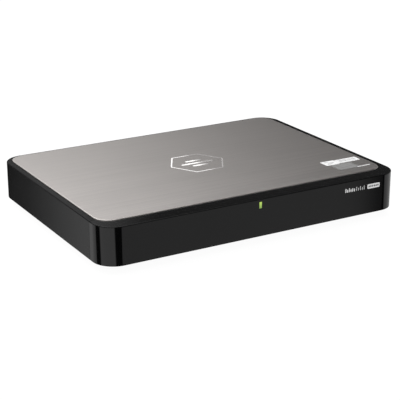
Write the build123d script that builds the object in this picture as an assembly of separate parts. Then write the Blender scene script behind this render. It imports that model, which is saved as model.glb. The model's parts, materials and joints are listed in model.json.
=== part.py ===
"""Two-bay desktop network storage unit, as the separate pieces it is assembled from.

Millimetres, +Z up. The origin lies on the supporting surface, under the middle of the case.
The front faces -Y, and +X is to the right of a person facing the front.
"""

import os

from build123d import *

# Case
WIDTH = 302.0
DEPTH = 220.0
HEIGHT = 42.5
CORNER = 19.5
WALL_BOTTOM = 7.5
RIM_TOP = 41.7
RIM_ROUND = 0.7
SHELL_WALL = 2.4
DECK_BOTTOM = 39.2
DECK_TOP = 41.0
GAP = 0.3

# Top plate
PLATE_WIDTH = 290.4
PLATE_FRONT = -94.6
PLATE_BACK = 107.0
PLATE_CORNER = 14.4
PLATE_ROUND = 1.0

# Front cover
SEAM_Y = -85.0
COVER_WALL = 2.5
SLOT_X = -0.7
SLOT_WIDTH = 2.9
SLOT_Z = (33.3, 39.1)
MAGNET_X = 126.0
MAGNET_Z = (16.0, 31.0)
MAGNET_RADIUS = 4.5
MAGNET_Y = (-104.9, -101.0)
KEEPER_DEPTH = 2.2

# Base pan and feet
SHEET = 1.2
PAN_INSET = 2.8
PAN_SLOPE_RUN = 19.0
PAN_BOTTOM = 3.0
PAN_EDGE = 7.3
PAN_FLOOR = PAN_BOTTOM + SHEET
FOOT_X = 112.0
FOOT_Y = 78.0
FOOT_RADIUS = 8.0
SCREW_X = 124.0
SCREW_Y = (-50.0, 52.0)
SCREW_RADIUS = 1.5
SCREW_HOLE = 1.7
HEAD_RADIUS = 3.0

# Front frame
FRAME_INSET = 3.2
FRAME_FRONT = -100.0
FRAME_BACK = -97.6
FRAME_BOTTOM = 8.6
FRAME_TOP = 38.9

# Drive bays
BAY_X = 62.0
BAY_HALF = 54.0
BAY_Z = (8.6, 37.6)
CAGE_SHEET = 1.0
CAGE_BACK = 52.0
CAGE_WINDOW_Y = (-66.0, -22.0, 22.0)
CAGE_WINDOW_WIDTH = 76.0
CAGE_WINDOW_DEPTH = 30.0
WALL_WINDOW_Z = (14.0, 32.0)
DRIVE_HALF = 50.8
DRIVE_Y = (-98.0, 49.0)
DRIVE_Z = (10.0, 36.1)
CASTING_Z = (11.6, 34.9)
SOCKET_Z = (12.2, 17.2)
SLED_HALF = 53.1
SLED_SIDE = 1.5
SLED_Z = (8.8, 10.0)
SLED_BACK = 46.0
TRAY_SCREW_Y = (-70.0, 30.0)
TRAY_SCREW_Z = 16.3
FACE_HALF = 53.4
FACE_Y = (-101.1, -98.6)
FACE_Z = (8.8, 37.0)
LEVER_PIN_X = 48.0
LEVER_Y = -103.5
LEVER_Z = (17.9, 28.1)
LEVER_REACH = 90.0
PIN_RADIUS = 1.2

# Electronics
BOARD_SCREWS = [(x, y) for x in (-110.0, 110.0) for y in (62.0, 84.0)]
BOARD_X = 118.0
BOARD_Y = (56.0, 106.0)
BOARD_Z = (9.0, 10.6)
PANEL_Y = (106.2, 107.6)
PANEL_HALF = 128.0
PANEL_Z = (8.7, 38.0)
SOCKET_Y = (92.0, 109.0)
OPENING_HALF = 122.0
OPENING_TOP = 36.0
DC_X = -66.0
RESET_X = -46.0
LAN_X = (-27.0, -11.0)
USB_X = (16.0, 36.0)
HDMI_X = (58.0, 78.0)
POWER_X = 104.0
POWER_Z = 15.6
RESET_Z = 16.0
LOCK_X = -108.0
LOCK_Z = 16.0
REAR_SCREW_X = 116.0
REAR_SCREW_Z = 31.0
SINK_X = (-105.0, -15.0)
SINK_Y = (58.0, 91.0)
SINK_Z = (12.8, 36.5)
SINK_BASE = 3.6
SINK_FIN = 1.4
SINK_PITCH = 4.5
SINK_FINS = 19
CHIP_TOP = 11.6
LID_TOP = 12.2
BATTERY = (93.0, 91.0)
BUZZER = (46.0, 88.0)
JACK_Z = 16.1


def block(x, y, z):
    """A box between a low and a high value on each axis."""
    spans = (x, y, z)
    size = [high - low for low, high in spans]
    middle = [(low + high) / 2 for low, high in spans]
    return Pos(*middle) * Box(*size)


def about(centre, width):
    """The low and high value of a span, from its centre and its width."""
    return (centre - width / 2, centre + width / 2)


def upright(x, y, z, radius):
    """A cylinder along Z."""
    return Pos(x, y, (z[0] + z[1]) / 2) * Cylinder(radius, z[1] - z[0])


def rod_y(x, y, z, radius):
    """A cylinder along Y."""
    return Pos(x, (y[0] + y[1]) / 2, z) * Rot(90, 0, 0) * Cylinder(radius, y[1] - y[0])


def rod_x(x, y, z, radius):
    """A cylinder along X."""
    return Pos((x[0] + x[1]) / 2, y, z) * Rot(0, 90, 0) * Cylinder(radius, x[1] - x[0])


def slab(x, y, z, radius):
    """A plate with rounded upright corners."""
    sketch = RectangleRounded(x[1] - x[0], y[1] - y[0], radius)
    return Pos((x[0] + x[1]) / 2, (y[0] + y[1]) / 2, z[0]) * extrude(sketch, z[1] - z[0])


def case_slab(inset, z):
    """The case's rounded outline, moved in by inset, between two heights."""
    half_x = WIDTH / 2 - inset
    half_y = DEPTH / 2 - inset
    return slab((-half_x, half_x), (-half_y, half_y), z, CORNER - inset)


def plate_slab(grow, z):
    """The top plate's rounded outline, moved out by grow, between two heights."""
    half_x = PLATE_WIDTH / 2 + grow
    return slab((-half_x, half_x), (PLATE_FRONT - grow, PLATE_BACK + grow), z, PLATE_CORNER + grow)


def in_front_of(limit):
    """All the space of the case in front of a Y value."""
    return block((-WIDTH, WIDTH), (-DEPTH, limit), (-HEIGHT, 2 * HEIGHT))


def group(pieces):
    """Several pieces as one node of separate solids."""
    return Compound([solid for piece in pieces for solid in piece.solids()])


def rounded_case():
    """The solid case block with its top edge rounded over."""
    body = case_slab(0, (WALL_BOTTOM, RIM_TOP))
    return fillet(body.edges().group_by(Axis.Z)[-1], RIM_ROUND)


def top_shell():
    """Side walls, rear wall, rims and the deck under the plate, with the screw posts."""
    shell = rounded_case() - case_slab(SHELL_WALL, (0, DECK_BOTTOM))
    shell -= plate_slab(GAP, (DECK_TOP, HEIGHT))
    shell -= in_front_of(SEAM_Y)
    shell += plate_slab(0, (DECK_BOTTOM, DECK_TOP)) & in_front_of(SEAM_Y)
    shell -= block((-OPENING_HALF, OPENING_HALF), (100, DEPTH), (0, OPENING_TOP))
    for x in (-SCREW_X, SCREW_X):
        for y in SCREW_Y:
            shell += upright(x, y, (PAN_FLOOR, DECK_BOTTOM), 4)
            shell -= upright(x, y, (0, 18), SCREW_RADIUS)
    for x in (-REAR_SCREW_X, REAR_SCREW_X):
        shell += block(about(x, 8), (99, PANEL_Y[0]), (26, DECK_BOTTOM))
        shell -= rod_y(x, (100, PANEL_Y[0]), REAR_SCREW_Z, SCREW_RADIUS)
    for x in (-140, 140):
        for y in (-60, -20, 20, 60):
            shell += block(about(x, 17), about(y, 1.4), (32, DECK_BOTTOM))
    return shell


def top_plate():
    """Aluminium plate with a rounded top edge, standing a little proud of the rim."""
    plate = plate_slab(0, (DECK_TOP, HEIGHT))
    return fillet(plate.edges().group_by(Axis.Z)[-1], PLATE_ROUND)


def front_cover():
    """Pull-off cover: front wall, both front corners and the lip round the plate's front."""
    cover = rounded_case() - case_slab(COVER_WALL, (0, DECK_BOTTOM))
    cover -= plate_slab(GAP, (0, HEIGHT))
    cover &= in_front_of(SEAM_Y - GAP)
    cover -= block(about(SLOT_X, SLOT_WIDTH), (-DEPTH, -104), SLOT_Z)
    return cover


def light_pipe():
    """Clear bar that carries the indicator's light through the cover."""
    shaft = block(about(SLOT_X, SLOT_WIDTH), (-DEPTH / 2, -101), SLOT_Z)
    inner = -DEPTH / 2 + COVER_WALL
    flange = block(about(SLOT_X, SLOT_WIDTH + 3), (inner, inner + 1), (SLOT_Z[0] - 1.5, SLOT_Z[1]))
    return shaft + flange


def cover_keepers():
    """Steel discs inside the cover, facing the frame's magnets."""
    inner = -DEPTH / 2 + COVER_WALL
    places = [(x, z) for x in (-MAGNET_X, MAGNET_X) for z in MAGNET_Z]
    return group([rod_y(x, (inner, inner + KEEPER_DEPTH), z, MAGNET_RADIUS) for x, z in places])


def front_frame():
    """Moulded frame with the two bay openings, the magnet cups and the side wings."""
    frame = case_slab(FRAME_INSET, (FRAME_BOTTOM, FRAME_TOP))
    frame -= in_front_of(FRAME_FRONT)
    frame &= in_front_of(-80)
    hollow = case_slab(FRAME_INSET + 2, (0, HEIGHT)) - in_front_of(FRAME_BACK)
    frame -= hollow
    frame += block((-120, 120), (FRAME_FRONT, FRAME_BACK), (7, FRAME_BOTTOM))
    for x in (-BAY_X, BAY_X):
        frame -= block(about(x, 2 * FACE_HALF + 0.8), (-DEPTH, 0), (FACE_Z[0] - 0.4, FACE_Z[1] + 0.4))
    for x in (-MAGNET_X, MAGNET_X):
        for z in MAGNET_Z:
            frame += rod_y(x, (MAGNET_Y[0], FRAME_FRONT), z, MAGNET_RADIUS + 1.5)
            frame -= rod_y(x, MAGNET_Y, z, MAGNET_RADIUS + 0.1)
    frame -= block(about(SLOT_X, 3.6), (-DEPTH, 0), (33.9, 38.1))
    return frame


def frame_magnets():
    """Magnets in the frame's cups."""
    places = [(x, z) for x in (-MAGNET_X, MAGNET_X) for z in MAGNET_Z]
    return group([rod_y(x, MAGNET_Y, z, MAGNET_RADIUS) for x, z in places])


def pan_form(drop):
    """The pan's dished form: wide at its edge and sloping in to a flat bottom."""
    half_x = WIDTH / 2 - PAN_INSET
    half_y = DEPTH / 2 - PAN_INSET
    corner = CORNER - PAN_INSET
    run = PAN_SLOPE_RUN
    low = RectangleRounded(2 * (half_x - run), 2 * (half_y - run), corner)
    high = RectangleRounded(2 * half_x, 2 * half_y, corner)
    return loft([Pos(0, 0, PAN_BOTTOM + drop) * low, Pos(0, 0, PAN_EDGE + drop) * high], ruled=True)


def base_pan():
    """Dished sheet steel pan with vent slots, foot holes and flanges inside the side walls."""
    edge = case_slab(PAN_INSET, (PAN_EDGE, PAN_EDGE + SHEET))
    pan = pan_form(0) + edge - pan_form(SHEET)
    outer = WIDTH / 2 - PAN_INSET
    for side in (-1, 1):
        flange_x = sorted((side * outer, side * (outer - SHEET)))
        pan += block(flange_x, (-76, 84), (PAN_EDGE + SHEET / 2, 14))
        for y in (-FOOT_Y, FOOT_Y):
            pan -= upright(side * FOOT_X, y, (0, 8), 3)
        for y in SCREW_Y:
            pan -= upright(side * SCREW_X, y, (0, 8), SCREW_HOLE)
        for row in range(13):
            pan -= block(about(side * 62, 60), about(-66 + 9 * row, 2.6), (0, PAN_FLOOR))
    for column in range(17):
        pan -= block(about(-96 + 12 * column, 2.6), (60, 80), (0, PAN_FLOOR))
    for x, y in BOARD_SCREWS:
        pan -= upright(x, y, (0, 8), SCREW_RADIUS)
    return pan


def rubber_feet():
    """Round feet, each with a plug pressed into the pan."""
    feet = []
    for x in (-FOOT_X, FOOT_X):
        for y in (-FOOT_Y, FOOT_Y):
            pad = upright(x, y, (0, PAN_BOTTOM), FOOT_RADIUS)
            pad = fillet(pad.edges().group_by(Axis.Z)[0], 0.8)
            feet.append(pad + upright(x, y, (PAN_BOTTOM, 5.6), 3))
    return group(feet)


def case_screws():
    """Screws from under the pan into the shell's posts."""
    screws = []
    for x in (-SCREW_X, SCREW_X):
        for y in SCREW_Y:
            head = upright(x, y, (PAN_BOTTOM - 1.4, PAN_BOTTOM), HEAD_RADIUS)
            head -= block(about(x, 3.6), about(y, 0.8), (0, PAN_BOTTOM - 0.7))
            head -= block(about(x, 0.8), about(y, 3.6), (0, PAN_BOTTOM - 0.7))
            screws.append(head + upright(x, y, (PAN_BOTTOM, 16), SCREW_RADIUS))
    return group(screws)


def cage_walls():
    """Upright sheets on both sides of each bay, each with three windows."""
    walls = []
    for centre in (-BAY_X, BAY_X):
        for side in (-1, 1):
            face = centre + side * BAY_HALF
            wall = block(sorted((face, face + side * CAGE_SHEET)), (FRAME_BACK, CAGE_BACK), BAY_Z)
            for y in CAGE_WINDOW_Y:
                wall -= block((-WIDTH, WIDTH), about(y, CAGE_WINDOW_DEPTH), WALL_WINDOW_Z)
            walls.append(wall)
    return group(walls)


def cage_top():
    """Sheet that closes both bays at the top, with three windows over each."""
    return cage_sheet(BAY_X + BAY_HALF + CAGE_SHEET, 0, BAY_Z[1])


def cage_sheet(half, centre, low):
    """A level sheet of the cage, with windows over each bay that it spans."""
    sheet = block(about(centre, 2 * half), (FRAME_BACK, CAGE_BACK), (low, low + CAGE_SHEET))
    for x in (-BAY_X, BAY_X):
        for y in CAGE_WINDOW_Y:
            sheet -= block(about(x, CAGE_WINDOW_WIDTH), about(y, CAGE_WINDOW_DEPTH), (0, HEIGHT))
    return sheet


def cage_floors():
    """One sheet under each bay, with three windows."""
    low = BAY_Z[0] - CAGE_SHEET
    return group([cage_sheet(BAY_HALF + CAGE_SHEET, x, low) for x in (-BAY_X, BAY_X)])


def cage_feet():
    """Spacers between the pan and the cage's floors."""
    height = (PAN_FLOOR, BAY_Z[0] - CAGE_SHEET)
    places = [(bay + offset, y) for bay in (-BAY_X, BAY_X) for offset in (-49, 49) for y in (-44, 44)]
    return group([block(about(x, 8), about(y, 6), height) for x, y in places])


def sled(side):
    """Sled: floor, sides, vented face and the two lugs that hold the lever's pin."""
    low = SLED_Z[0]
    tray = block(about(0, 2 * SLED_HALF), (FACE_Y[1], SLED_BACK), (low, 22))
    tray -= block(about(0, 2 * (SLED_HALF - SLED_SIDE)), (FACE_Y[1], 60), (SLED_Z[1], HEIGHT))
    for y in (-66, -22, 22):
        tray -= block(about(0, 80), about(y, 32), (0, SLED_Z[1]))
    tray += slab(about(0, 2 * FACE_HALF), FACE_Y, FACE_Z, 0.8)
    for column in range(19):
        x = -45 + 5 * column
        tray -= block(about(x, 2.4), (-DEPTH, -95), (12, 16.5))
        tray -= block(about(x, 2.4), (-DEPTH, -95), (29.5, 34))
    lug_x = about(LEVER_PIN_X, 4.4)
    for z in ((LEVER_Z[0] - 4.4, LEVER_Z[0] - 0.4), (LEVER_Z[1] + 0.4, LEVER_Z[1] + 4.4)):
        tray += block(lug_x, (LEVER_Y - 1.7, FACE_Y[0] + 1), z)
        tray -= upright(LEVER_PIN_X, LEVER_Y, z, PIN_RADIUS)
    for x in (SLED_HALF, -SLED_HALF):
        for y in TRAY_SCREW_Y:
            tray -= rod_x(sorted((x, x * 0.9)), y, TRAY_SCREW_Z, SCREW_HOLE)
            tray -= rod_x(sorted((x, x - 1.1 * x / SLED_HALF)), y, TRAY_SCREW_Z, 2.8)
    return place(tray, side)


def place(piece, side):
    """Moves a piece of the right-hand pattern into its bay, mirrored in the left bay."""
    if side < 0:
        piece = mirror(piece, about=Plane.YZ)
    return Pos(side * BAY_X, 0, 0) * piece


def lever(side):
    """Release lever with an eye at its pin and a finger hole at its free end."""
    end = LEVER_PIN_X - LEVER_REACH
    bar = block((end, LEVER_PIN_X), about(LEVER_Y, 3), LEVER_Z)
    bar = fillet(bar.edges().filter_by(Axis.Y).group_by(Axis.X)[0], 3)
    bar += upright(LEVER_PIN_X, LEVER_Y, LEVER_Z, 2.2)
    bar -= upright(LEVER_PIN_X, LEVER_Y, LEVER_Z, PIN_RADIUS + 0.06)
    bar -= block((end + 5, end + 21), about(LEVER_Y, 6), (20.2, 25.8))
    return place(bar, side)


def lever_pin(side):
    """Hinge pin held in the sled's lugs."""
    return place(upright(LEVER_PIN_X, LEVER_Y, (LEVER_Z[0] - 4.4, LEVER_Z[1] + 4.4), PIN_RADIUS), side)


def tray_screws(side):
    """Flat-headed screws through the sled's sides into the drive."""
    screws = []
    for sign in (-1, 1):
        for y in TRAY_SCREW_Y:
            seat = sign * (SLED_HALF - 1.1)
            head = rod_x(sorted((seat, sign * (SLED_HALF - 0.1))), y, TRAY_SCREW_Z, 2.6)
            shank = rod_x(sorted((sign * 48, seat)), y, TRAY_SCREW_Z, SCREW_RADIUS)
            screws.append(place(head + shank, side))
    return group(screws)


def drive_casting(side):
    """Cast drive body, hollow under its lid, with the recess for its connector at the back."""
    casting = slab(about(0, 2 * DRIVE_HALF), DRIVE_Y, CASTING_Z, 3)
    casting -= slab(about(0, 92), (-94, 41), (18.5, CASTING_Z[1]), 6)
    casting -= block((-44, -2), (44.5, DRIVE_Y[1]), (CASTING_Z[0], SOCKET_Z[1] + 0.6))
    for x in (-DRIVE_HALF, DRIVE_HALF):
        for y in TRAY_SCREW_Y:
            casting -= rod_x(sorted((x, 48 * x / DRIVE_HALF)), y, TRAY_SCREW_Z, SCREW_RADIUS)
    rail_z = (DRIVE_Z[0], CASTING_Z[0])
    casting += block(about(0, 2 * DRIVE_HALF), (DRIVE_Y[0], -92), rail_z)
    for x in (-48.8, 48.8):
        casting += block(about(x, 4), (-92, 43), rail_z)
    return Pos(side * BAY_X, 0, 0) * casting


def drive_lid(side):
    """Stamped steel lid with a raised round over the discs and six screws' dimples."""
    low = CASTING_Z[1]
    lid = slab(about(0, 99.6), (-96.8, 47.8), (low, low + 0.8), 4)
    lid += upright(0, -42, (low + 0.8, DRIVE_Z[1]), 40)
    for x in (-45, 45):
        for y in (-90, -24, 42):
            lid -= upright(x, y, (low + 0.4, HEIGHT), 2.6)
    return Pos(side * BAY_X, 0, 0) * lid


def drive_board(side):
    """Controller board under the drive, cut away round the motor's hub."""
    board = slab(about(0, 92), (-28, 42), (DRIVE_Z[0] + 0.6, CASTING_Z[0]), 2)
    board -= upright(0, -16, (0, 20), 10)
    return Pos(side * BAY_X, 0, 0) * board


def rear_panel():
    """Sheet steel socket panel with its cut-outs and a row of vent slots."""
    panel = block((-PANEL_HALF, PANEL_HALF), PANEL_Y, PANEL_Z)
    through = (PANEL_Y[0] - 1, PANEL_Y[1] + 1)
    panel -= block((LAN_X[0] - 8.4, LAN_X[1] + 8.4), through, (10.2, 24.6))
    for x in USB_X:
        panel -= block(about(x, 15.2), through, (10.2, 26.6))
    for x in HDMI_X:
        panel -= block(about(x, 16.2), through, (10.2, 17.2))
    panel -= block(about(DC_X, 9.8), through, (10.2, 22))
    panel -= rod_y(POWER_X, through, POWER_Z, 4.9)
    panel -= rod_y(RESET_X, through, RESET_Z, 1.1)
    panel -= block(about(LOCK_X, 7.2), through, about(LOCK_Z, 3.2))
    for x in (-REAR_SCREW_X, REAR_SCREW_X):
        panel -= rod_y(x, through, REAR_SCREW_Z, SCREW_HOLE)
    for column in range(39):
        panel -= block(about(-95 + 5 * column, 2.6), through, (28.4, 34.4))
    return panel


def lock_bracket():
    """Steel plate that backs the lock slot."""
    plate = block(about(LOCK_X, 18), (104.4, PANEL_Y[0]), (BOARD_Z[1], 23))
    return plate - block(about(LOCK_X, 7.2), (100, 110), about(LOCK_Z, 3.2))


def rear_screws():
    """Screws through the socket panel into the shell's rear posts."""
    screws = []
    for x in (-REAR_SCREW_X, REAR_SCREW_X):
        head = rod_y(x, (PANEL_Y[1], 109.2), REAR_SCREW_Z, HEAD_RADIUS)
        head -= block(about(x, 3.6), (108.5, 110), about(REAR_SCREW_Z, 0.8))
        head -= block(about(x, 0.8), (108.5, 110), about(REAR_SCREW_Z, 3.6))
        screws.append(head + rod_y(x, (101, PANEL_Y[1]), REAR_SCREW_Z, SCREW_RADIUS))
    return group(screws)


def mainboard():
    """Main circuit board across the back of the case."""
    board = block((-BOARD_X, BOARD_X), BOARD_Y, BOARD_Z)
    for x, y in BOARD_SCREWS:
        board -= upright(x, y, (0, HEIGHT), SCREW_HOLE)
    return board


def standoffs():
    """Posts between the pan and the main board."""
    posts = []
    for x, y in BOARD_SCREWS:
        post = upright(x, y, (PAN_FLOOR, BOARD_Z[0]), 3)
        posts.append(post - upright(x, y, (0, HEIGHT), SCREW_RADIUS))
    return group(posts)


def board_screws():
    """Screws through the main board into the standoffs."""
    screws = []
    for x, y in BOARD_SCREWS:
        head = upright(x, y, (BOARD_Z[1], BOARD_Z[1] + 1.8), 2.8)
        screws.append(head + upright(x, y, (4.6, BOARD_Z[1]), SCREW_RADIUS))
    return group(screws)


def processor():
    """Processor package with its lid."""
    x = sum(SINK_X) / 2
    y = sum(SINK_Y) / 2
    package = block(about(x, 30), about(y, 27), (BOARD_Z[1], CHIP_TOP))
    return package + block(about(x, 18), about(y, 18), (CHIP_TOP, LID_TOP))


def thermal_pad():
    """Pad between the processor and the heatsink."""
    return block(about(sum(SINK_X) / 2, 20), about(sum(SINK_Y) / 2, 20), (LID_TOP, SINK_Z[0]))


def sink_screw_places():
    """Where the heatsink's screws stand: between fins, near its corners."""
    inset = 1.5 * SINK_PITCH
    return [(x, y) for x in (SINK_X[0] + inset, SINK_X[1] - inset) for y in (SINK_Y[0] + 5, SINK_Y[1] - 5)]


def heatsink():
    """Extruded heatsink with upright fins that run front to back."""
    low, high = SINK_Z
    sink = block(SINK_X, SINK_Y, (low, low + SINK_BASE))
    for fin in range(1, SINK_FINS + 1):
        sink += block(about(SINK_X[0] + SINK_PITCH * fin, SINK_FIN), SINK_Y, (low + SINK_BASE, high))
    for x, y in sink_screw_places():
        sink -= upright(x, y, (0, HEIGHT), 2.7)
    return sink


def heatsink_screws():
    """Screws that draw the heatsink down onto the processor."""
    screws = []
    for x, y in sink_screw_places():
        head = upright(x, y, (17, 18.6), 2.4)
        screws.append(head + upright(x, y, (BOARD_Z[1], 17), 1.3))
    return group(screws)


def on_board(x, y, width, depth, height):
    """A chip-like block standing on the main board."""
    return block(about(x, width), about(y, depth), (BOARD_Z[1], BOARD_Z[1] + height))


def memory_chips():
    """Row of soldered memory chips."""
    return group([on_board(2 + 13 * column, 72, 10, 13, 1.1) for column in range(4)])


def board_chips():
    """Network, storage and power controllers."""
    places = [(-6, 86, 9), (10, 86, 9), (62, 74, 14), (84, 66, 9), (82, 82, 7)]
    return group([on_board(x, y, size, size, 1.2) for x, y, size in places])


def board_coils():
    """Square power coils."""
    return group([on_board(98, 62 + 9 * row, 7.2, 7.2, 4) for row in range(3)])


def board_capacitors():
    """Round capacitors beside the power inlet and the coils."""
    places = [(-82, 98), (-90, 98), (-98, 98), (74, 88), (66, 88), (58, 88)]
    return group([upright(x, y, (BOARD_Z[1], 18.6), 3.2) for x, y in places])


def clock_battery():
    """Coin cell in its round holder."""
    holder = upright(*BATTERY, (BOARD_Z[1], 12.4), 6.3)
    return holder + upright(*BATTERY, (12.4, 14.4), 5.8)


def buzzer():
    """Round sounder with its hole."""
    body = upright(*BUZZER, (BOARD_Z[1], 15.4), 4.5)
    return body - upright(*BUZZER, (13, 20), 0.9)


def dc_jack():
    """Power inlet with its round well and centre pin."""
    jack = block(about(DC_X, 9), (94, SOCKET_Y[1]), (BOARD_Z[1], 21.6))
    jack -= rod_y(DC_X, (98, 110), JACK_Z, 3.2)
    return jack + rod_y(DC_X, (97, 107), JACK_Z, 1)


def hdmi_ports():
    """Two display sockets with their tongues."""
    ports = []
    for x in HDMI_X:
        port = block(about(x, 15.4), (96, SOCKET_Y[1]), (BOARD_Z[1], 16.8))
        port -= block(about(x, 14), (98, 110), (11.4, 16.1))
        ports.append(port + block(about(x, 10.4), (97, 107), (13.2, 14.3)))
    return group(ports)


def usb_ports(x):
    """A stack of two USB sockets with their tongues."""
    stack = block(about(x, 14.4), SOCKET_Y, (BOARD_Z[1], 26.2))
    for low in (11.8, 19.6):
        stack -= block(about(x, 12.6), (95, 110), (low, low + 5.2))
        stack += block(about(x, 11.2), (94, 107.5), (low + 2.6, low + 4.4))
    return stack


def lan_ports():
    """Double network socket with two cavities."""
    body = block((LAN_X[0] - 8, LAN_X[1] + 8), SOCKET_Y, (BOARD_Z[1], 24.2))
    for x in LAN_X:
        body -= block(about(x, 12), (97, 110), (12.2, 20.8))
        body -= block(about(x, 6), (97, 110), (20.8, 22.6))
    return body


def power_switch():
    """Push switch on the main board behind the power button."""
    body = block(about(POWER_X, 8), (96, 102), (BOARD_Z[1], 19))
    return body - rod_y(POWER_X, (99.4, 102), POWER_Z, 1.8)


def power_button():
    """Round push button with its stem in the switch."""
    cap = rod_y(POWER_X, (103.6, 109.6), POWER_Z, 4.6)
    cap = fillet(cap.edges().group_by(Axis.Y)[-1], 0.6)
    return cap + rod_y(POWER_X, (101, 103.6), POWER_Z, 1.5)


def reset_switch():
    """Small switch behind the reset pinhole."""
    body = block(about(RESET_X, 6), (98, 103), (BOARD_Z[1], 19))
    return body - rod_y(RESET_X, (101, 103), RESET_Z, 1.2)


def reset_button():
    """Plunger of the reset switch."""
    return rod_y(RESET_X, (101.8, 104.6), RESET_Z, 0.9)


def backplane_board():
    """Upright board behind the drives, with openings for air."""
    board = block((-116, 116), (CAGE_BACK, CAGE_BACK + 1.6), (8.6, 37))
    for x in (-BAY_X, BAY_X):
        for offset in (8, 34):
            board -= block(about(x + offset, 20), (50, 56), (20, 33))
        board -= block(about(x - 26, 34), (50, 56), (22, 33))
    return board


def sata_sockets():
    """Drive sockets on the backplane."""
    sockets = []
    for x in (-BAY_X, BAY_X):
        housing = block((x - 42, x - 4), (45.4, CAGE_BACK), SOCKET_Z)
        for left, right in ((x - 40, x - 24), (x - 21, x - 6)):
            housing -= block((left, right), (45, 48.5), (SOCKET_Z[0] + 2, SOCKET_Z[1] - 1.4))
        sockets.append(housing)
    return group(sockets)


def board_link_connector():
    """Connector between the backplane and the main board."""
    return block((24, 64), (CAGE_BACK + 1.6, 60), (BOARD_Z[1], 16.6))


def indicator_board():
    """Small board behind the frame that carries the indicator lamp."""
    return block(about(SLOT_X, 12), (FRAME_BACK, FRAME_BACK + 1.2), (24, 37.3))


def indicator_led():
    """Indicator lamp in the frame's window."""
    return block(about(SLOT_X, 3), (-100.4, FRAME_BACK), (34.4, 37.6))


def indicator_cable():
    """Flat cable along the middle channel of the cage to the backplane."""
    return block(about(SLOT_X, 8), (FRAME_BACK + 1.2, CAGE_BACK), (36.5, 37))


PIECES = {
    "top_shell": top_shell(),
    "top_plate": top_plate(),
    "front_cover": front_cover(),
    "light_pipe": light_pipe(),
    "cover_keepers": cover_keepers(),
    "front_frame": front_frame(),
    "frame_magnets": frame_magnets(),
    "base_pan": base_pan(),
    "rubber_feet": rubber_feet(),
    "case_screws": case_screws(),
    "cage_walls": cage_walls(),
    "cage_top": cage_top(),
    "cage_floors": cage_floors(),
    "cage_feet": cage_feet(),
    "rear_panel": rear_panel(),
    "lock_bracket": lock_bracket(),
    "rear_screws": rear_screws(),
    "mainboard": mainboard(),
    "standoffs": standoffs(),
    "board_screws": board_screws(),
    "processor": processor(),
    "thermal_pad": thermal_pad(),
    "heatsink": heatsink(),
    "heatsink_screws": heatsink_screws(),
    "memory_chips": memory_chips(),
    "board_chips": board_chips(),
    "board_coils": board_coils(),
    "board_capacitors": board_capacitors(),
    "clock_battery": clock_battery(),
    "buzzer": buzzer(),
    "dc_jack": dc_jack(),
    "hdmi_ports": hdmi_ports(),
    "usb_ports_left": usb_ports(USB_X[0]),
    "usb_ports_right": usb_ports(USB_X[1]),
    "lan_ports": lan_ports(),
    "power_switch": power_switch(),
    "power_button": power_button(),
    "reset_switch": reset_switch(),
    "reset_button": reset_button(),
    "backplane_board": backplane_board(),
    "sata_sockets": sata_sockets(),
    "board_link_connector": board_link_connector(),
    "indicator_board": indicator_board(),
    "indicator_led": indicator_led(),
    "indicator_cable": indicator_cable(),
}
for name, side in (("left", -1), ("right", 1)):
    PIECES[name + "_sled"] = sled(side)
    PIECES[name + "_lever"] = lever(side)
    PIECES[name + "_lever_pin"] = lever_pin(side)
    PIECES[name + "_tray_screws"] = tray_screws(side)
    PIECES[name + "_drive_casting"] = drive_casting(side)
    PIECES[name + "_drive_lid"] = drive_lid(side)
    PIECES[name + "_drive_board"] = drive_board(side)

os.makedirs("parts", exist_ok=True)
for name, piece in PIECES.items():
    export_step(piece, os.path.join("parts", name + ".step"))
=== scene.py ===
import json
from math import cos, pi, radians, sin

import bmesh
import bpy
from mathutils import Matrix, Vector


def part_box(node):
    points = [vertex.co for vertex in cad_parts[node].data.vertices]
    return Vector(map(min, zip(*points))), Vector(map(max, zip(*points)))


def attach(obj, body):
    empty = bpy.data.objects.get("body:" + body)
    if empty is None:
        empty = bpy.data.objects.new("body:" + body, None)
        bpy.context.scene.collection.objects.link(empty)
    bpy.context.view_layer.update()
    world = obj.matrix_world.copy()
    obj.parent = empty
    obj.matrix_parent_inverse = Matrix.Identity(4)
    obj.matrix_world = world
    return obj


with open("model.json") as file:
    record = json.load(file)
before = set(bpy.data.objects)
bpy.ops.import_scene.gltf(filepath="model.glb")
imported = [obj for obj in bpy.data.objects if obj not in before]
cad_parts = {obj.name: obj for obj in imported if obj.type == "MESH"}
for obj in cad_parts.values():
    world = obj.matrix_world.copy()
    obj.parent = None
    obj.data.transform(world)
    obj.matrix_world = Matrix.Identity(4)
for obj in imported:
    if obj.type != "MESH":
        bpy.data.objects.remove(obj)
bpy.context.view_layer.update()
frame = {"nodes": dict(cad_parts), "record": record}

MM = 0.001
SCENE = bpy.context.scene
NODES = frame["nodes"]
PLATE_LOW, PLATE_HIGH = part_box("top_plate")
PLATE_TOP = PLATE_HIGH.z
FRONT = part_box("front_cover")[0].y


# ---------------------------------------------------------------- camera

CAMERA_TURN = radians(-30.23)
CAMERA_RISE = radians(19.561)
CAMERA_ROLL = radians(0.087)
CAMERA_DISTANCE = 1134.6 * MM
CAMERA_AIM_HEIGHT = 21.5 * MM
CAMERA_AIM_RIGHT = 2.84 * MM
CAMERA_AIM_UP = -13.71 * MM
CAMERA_LENS = 109.08


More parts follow.
